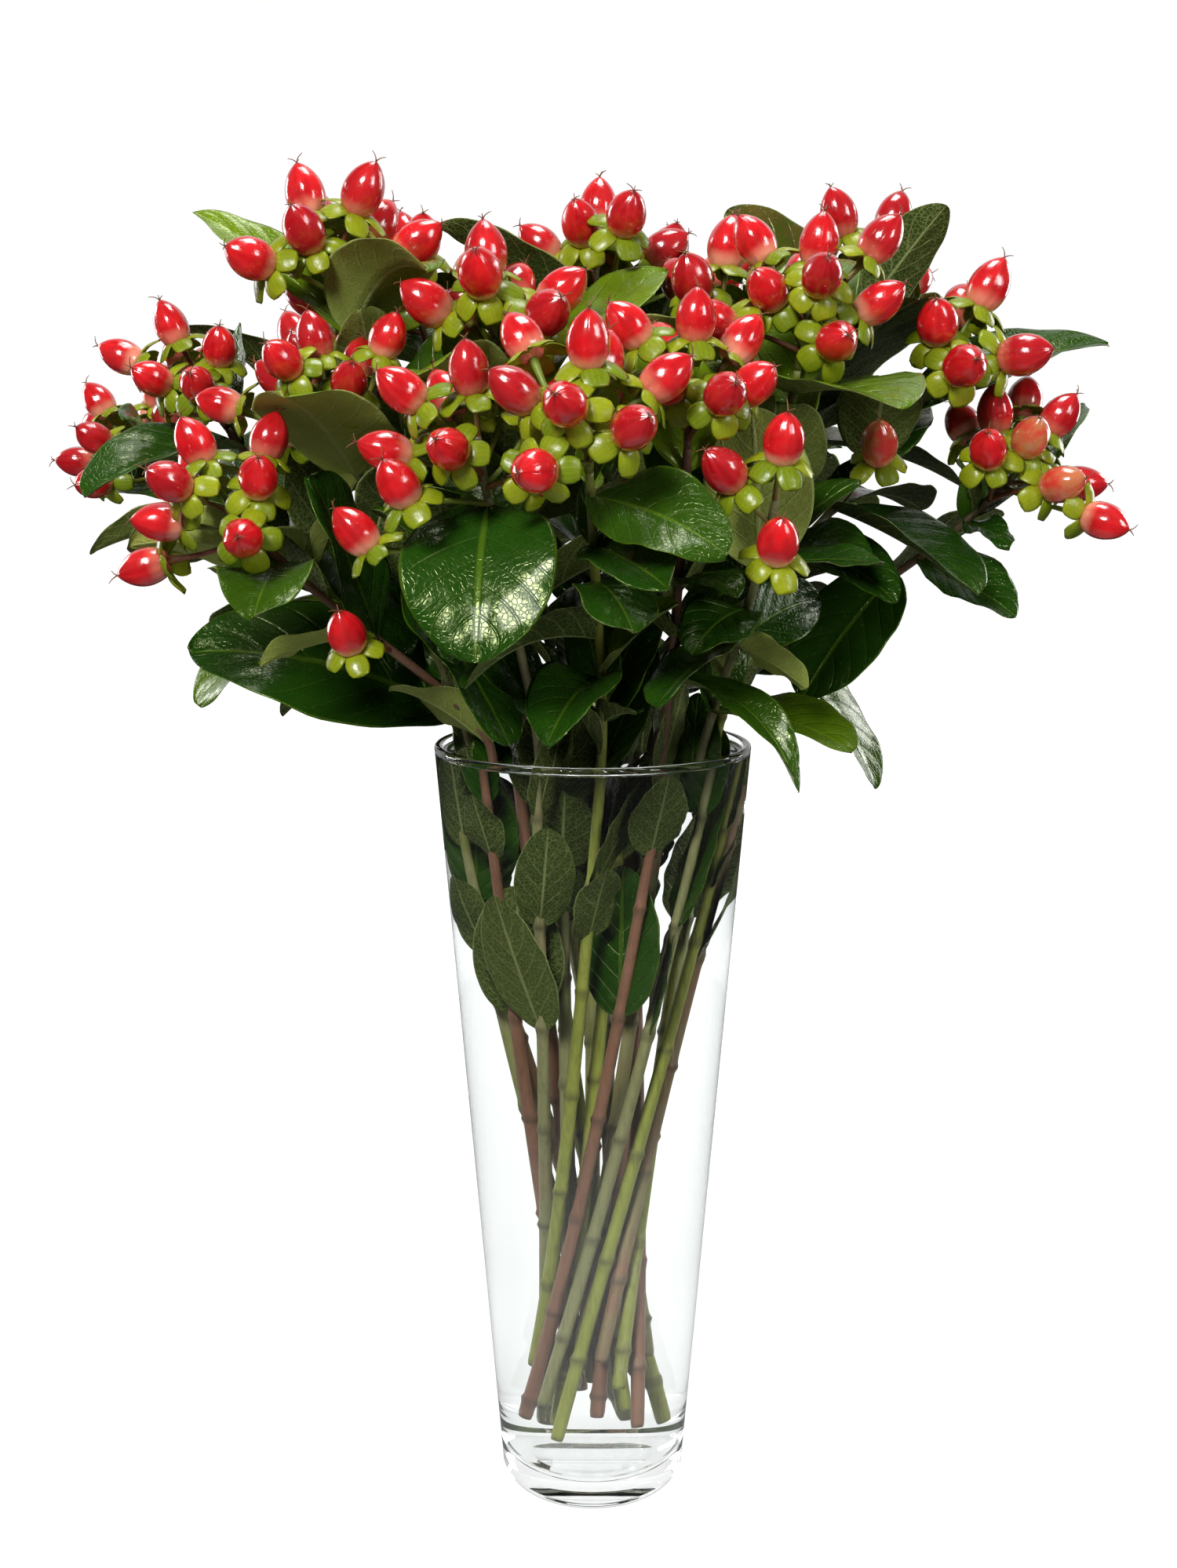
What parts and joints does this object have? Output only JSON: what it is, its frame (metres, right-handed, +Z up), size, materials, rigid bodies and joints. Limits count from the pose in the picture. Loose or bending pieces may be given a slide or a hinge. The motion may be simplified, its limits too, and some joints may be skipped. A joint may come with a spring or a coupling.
{
  "type": "hypericum berry stem",
  "caption": "Tall tapered clear glass vase of water holding a spiral bunch of leafy hypericum stems, each topped with a spray of pointed red berries.",
  "frame": {"origin": "centre of the underside of the vase's foot, on the surface it stands on", "axes": "+Z up along the axis of the vase; the side that faces -Y is the front of the bunch"},
  "size_m": [0.4024, 0.3576, 0.5057],
  "materials": {
    "glass": "clear polished",
    "water": "clear water",
    "foliage": "waxy green leaf and stem",
    "fruit": "glossy red berry"
  },
  "bodies": {
    "root": {"vase": "glass", "water": "water", "stem_01": "foliage", "stem_02": "foliage", "stem_03": "foliage", "stem_04": "foliage", "stem_05": "foliage", "stem_06": "foliage", "stem_07": "foliage", "stem_08": "foliage", "stem_09": "foliage", "stem_10": "foliage", "stem_11": "foliage", "stem_12": "foliage", "stem_13": "foliage", "stem_14": "foliage", "stem_15": "foliage", "stem_16": "foliage", "stem_17": "foliage", "stem_18": "foliage", "stem_19": "foliage", "stem_20": "foliage", "stem_21": "foliage", "berries_01": "fruit", "berries_02": "fruit", "berries_03": "fruit", "berries_04": "fruit", "berries_05": "fruit", "berries_06": "fruit", "berries_07": "fruit", "berries_08": "fruit", "berries_09": "fruit", "berries_10": "fruit", "berries_11": "fruit", "berries_12": "fruit", "berries_13": "fruit", "berries_14": "fruit", "berries_15": "fruit", "berries_16": "fruit", "berries_17": "fruit", "berries_18": "fruit", "berries_19": "fruit", "berries_20": "fruit", "berries_21": "fruit"}
  },
  "joints": []
}
